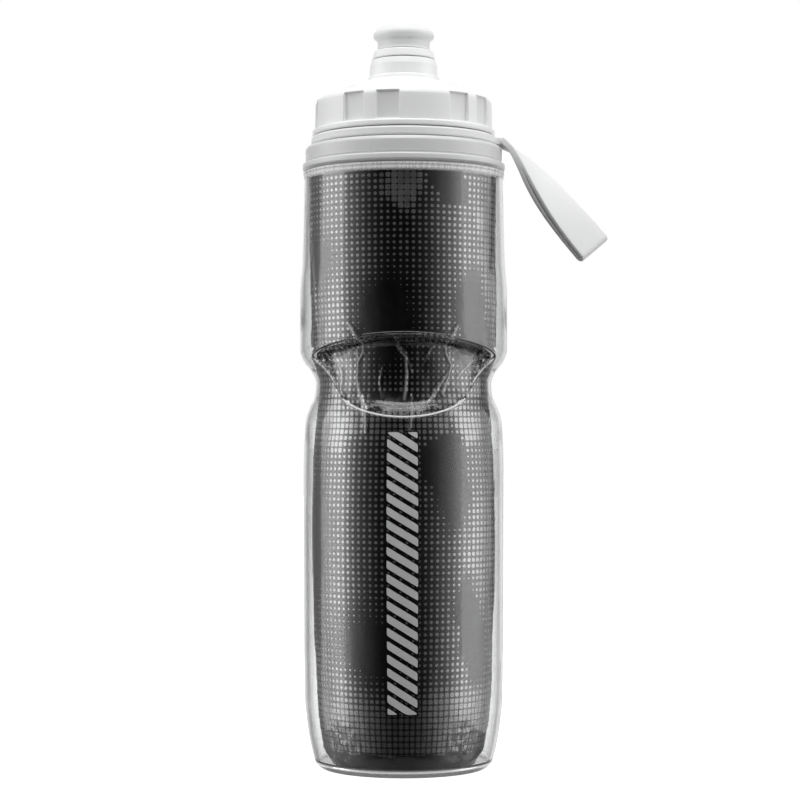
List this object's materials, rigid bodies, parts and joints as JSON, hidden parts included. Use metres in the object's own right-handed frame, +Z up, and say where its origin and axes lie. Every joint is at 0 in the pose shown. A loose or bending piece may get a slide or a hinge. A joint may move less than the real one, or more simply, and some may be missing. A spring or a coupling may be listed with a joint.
{
  "type": "insulated bicycle water bottle",
  "caption": "Double-wall squeeze bottle with a waist for a bottle cage, a screw cap with a push-pull nozzle, and a rubber carry strap.",
  "frame": {"origin": "centre of the flat base, on the bottle's axis", "axes": "+Z up along the bottle's axis, -Y towards the front of the print, +X towards the strap loop"},
  "size_m": [0.1104, 0.074, 0.2639],
  "materials": {
    "clear_plastic": "clear, glossy, blow moulded",
    "printed_film": "metallised film printed black with grey dots",
    "milky_plastic": "milky, half translucent, smooth",
    "white_plastic": "white, satin, slightly translucent",
    "white_rubber": "white silicone rubber, matte",
    "seal_rubber": "translucent silicone rubber"
  },
  "bodies": {
    "bottle": {"outer_shell": "clear_plastic", "insulation_film": "printed_film", "base_film_disc": "printed_film", "inner_bottle": "milky_plastic", "collar_ring": "white_plastic"},
    "cap_seal": {"cap_gasket": "seal_rubber"},
    "cap": {"screw_cap": "white_plastic", "valve_stem": "white_plastic", "spout_o_ring": "seal_rubber"},
    "nozzle": {"nozzle_sleeve": "white_plastic", "mouthpiece": "white_rubber"},
    "strap_ring": {"strap_neck_ring": "white_rubber"},
    "strap_band": {"strap_loop": "white_rubber"}
  },
  "joints": [
    {"name": "cap_lift", "type": "slide", "parent": "bottle", "child": "cap_seal", "axis": [0, 0, 1], "range_m": [0, 0.0136]},
    {"name": "cap_turn", "type": "hinge", "parent": "cap_seal", "child": "cap", "pos_m": [0, 0, 0.2245], "axis": [0, 0, 1], "range_deg": [0, 1080]},
    {"name": "nozzle_pull", "type": "slide", "parent": "cap", "child": "nozzle", "axis": [0, 0, 1], "range_m": [0, 0.007]},
    {"name": "strap_swivel", "type": "hinge", "parent": "bottle", "child": "strap_ring", "pos_m": [0, 0, 0.2224], "axis": [0, 0, 1], "continuous": true},
    {"name": "strap_flex", "type": "hinge", "parent": "strap_ring", "child": "strap_band", "pos_m": [0.0356, 0, 0.222], "axis": [0, 1, 0], "range_deg": [-100, 12], "stiffness_Nm_per_rad": 0.02, "springref_deg": -2.86}
  ],
  "couplings": [
    {"joint": "cap_lift", "follows": "cap_turn", "m_per_rad": 0.0007162}
  ]
}
